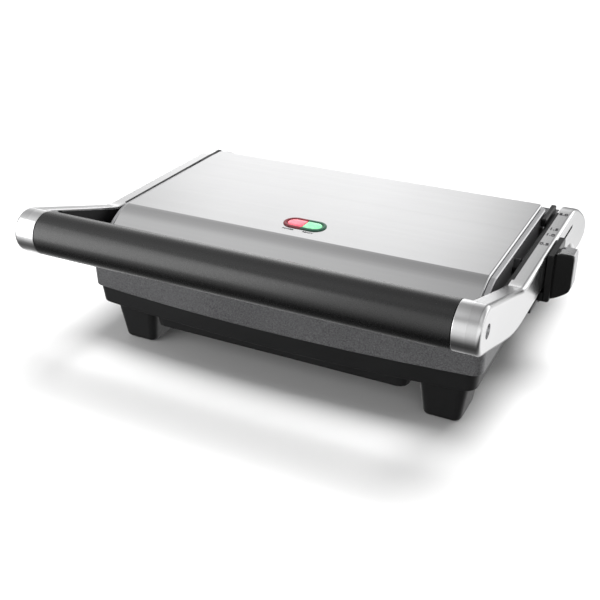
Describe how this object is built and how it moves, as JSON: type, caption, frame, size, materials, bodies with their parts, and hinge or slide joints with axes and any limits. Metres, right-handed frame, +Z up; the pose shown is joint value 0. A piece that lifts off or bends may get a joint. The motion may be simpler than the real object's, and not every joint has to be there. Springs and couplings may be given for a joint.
{
  "type": "panini press",
  "caption": "Closed contact grill: stainless lid with a full-width round black handle between two metal arms, over a charcoal base on feet.",
  "frame": {"origin": "centre of the footprint on the table, under the foot pads", "axes": "+Z up, +Y towards the arm hinge at the rear, +X towards the side with the height slider"},
  "size_m": [0.4008, 0.3602, 0.1441],
  "materials": {
    "stainless": "brushed stainless",
    "arm_metal": "cast and brushed",
    "side_frame": "silver paint on moulded plastic",
    "grip": "soft-touch black",
    "charcoal_band": "speckled charcoal",
    "black_plastic": "satin black",
    "pad_rubber": "matt",
    "plate_cast": "cast, non-stick coated",
    "zinc_steel": "zinc plated",
    "bush_brass": "plain",
    "pale_nylon": "natural",
    "red_lens": "tinted",
    "green_lens": "tinted",
    "board": "circuit board"
  },
  "bodies": {
    "base": {"base_shell": "charcoal_band", "rear_housing": "charcoal_band", "bottom_housing": "black_plastic", "bottom_cover": "black_plastic", "cover_screw_1": "zinc_steel", "cover_screw_2": "zinc_steel", "cover_screw_3": "zinc_steel", "cover_screw_4": "zinc_steel", "foot_front_left": "black_plastic", "foot_front_right": "black_plastic", "foot_rear_left": "black_plastic", "foot_rear_right": "black_plastic", "foot_pad_front_left": "pad_rubber", "foot_pad_front_right": "pad_rubber", "foot_pad_rear_left": "pad_rubber", "foot_pad_rear_right": "pad_rubber", "lower_plate": "plate_cast", "lower_element": "zinc_steel", "lower_heat_shield": "zinc_steel", "lower_thermostat": "zinc_steel", "terminal_block": "pale_nylon", "cord_gland": "black_plastic", "hinge_bracket_left": "zinc_steel", "hinge_bracket_right": "zinc_steel", "hinge_pin_left": "zinc_steel", "hinge_pin_right": "zinc_steel", "height_stop_rail": "black_plastic"},
    "handle_frame": {"arm_left": "arm_metal", "arm_right": "arm_metal", "arm_cover_left": "black_plastic", "arm_cover_right": "black_plastic", "tilt_stop_left": "black_plastic", "tilt_stop_right": "black_plastic", "hinge_bush_left": "bush_brass", "hinge_bush_right": "bush_brass", "handle_screw_left": "zinc_steel", "handle_screw_right": "zinc_steel", "handle_rod": "stainless", "handle_grip": "grip"},
    "lid": {"lid_cover": "stainless", "lid_housing": "side_frame", "upper_plate": "plate_cast", "upper_element": "zinc_steel", "upper_heat_shield": "zinc_steel", "upper_thermostat": "zinc_steel", "thermal_fuse": "bush_brass", "lamp_bezel": "black_plastic", "lens_red": "red_lens", "lens_green": "green_lens", "lamp_board": "board", "pivot_pin_left": "zinc_steel", "pivot_pin_right": "zinc_steel", "pivot_spacer_left": "black_plastic", "pivot_spacer_right": "black_plastic"},
    "height_slider": {"slider_body": "black_plastic", "slider_cap": "stainless", "detent_leaf": "zinc_steel"}
  },
  "joints": [
    {"name": "arm_hinge", "type": "hinge", "parent": "base", "child": "handle_frame", "pos_m": [-0.01035, 0.1556, 0.076], "axis": [-1, 0, 0], "range_deg": [0, 95]},
    {"name": "lid_tilt", "type": "hinge", "parent": "handle_frame", "child": "lid", "pos_m": [-0.01035, -0.0124, 0.1045], "axis": [1, 0, 0], "range_deg": [-4, 4]},
    {"name": "height_slide", "type": "slide", "parent": "handle_frame", "child": "height_slider", "axis": [0, 1, 0], "range_m": [0, 0.0695]}
  ]
}
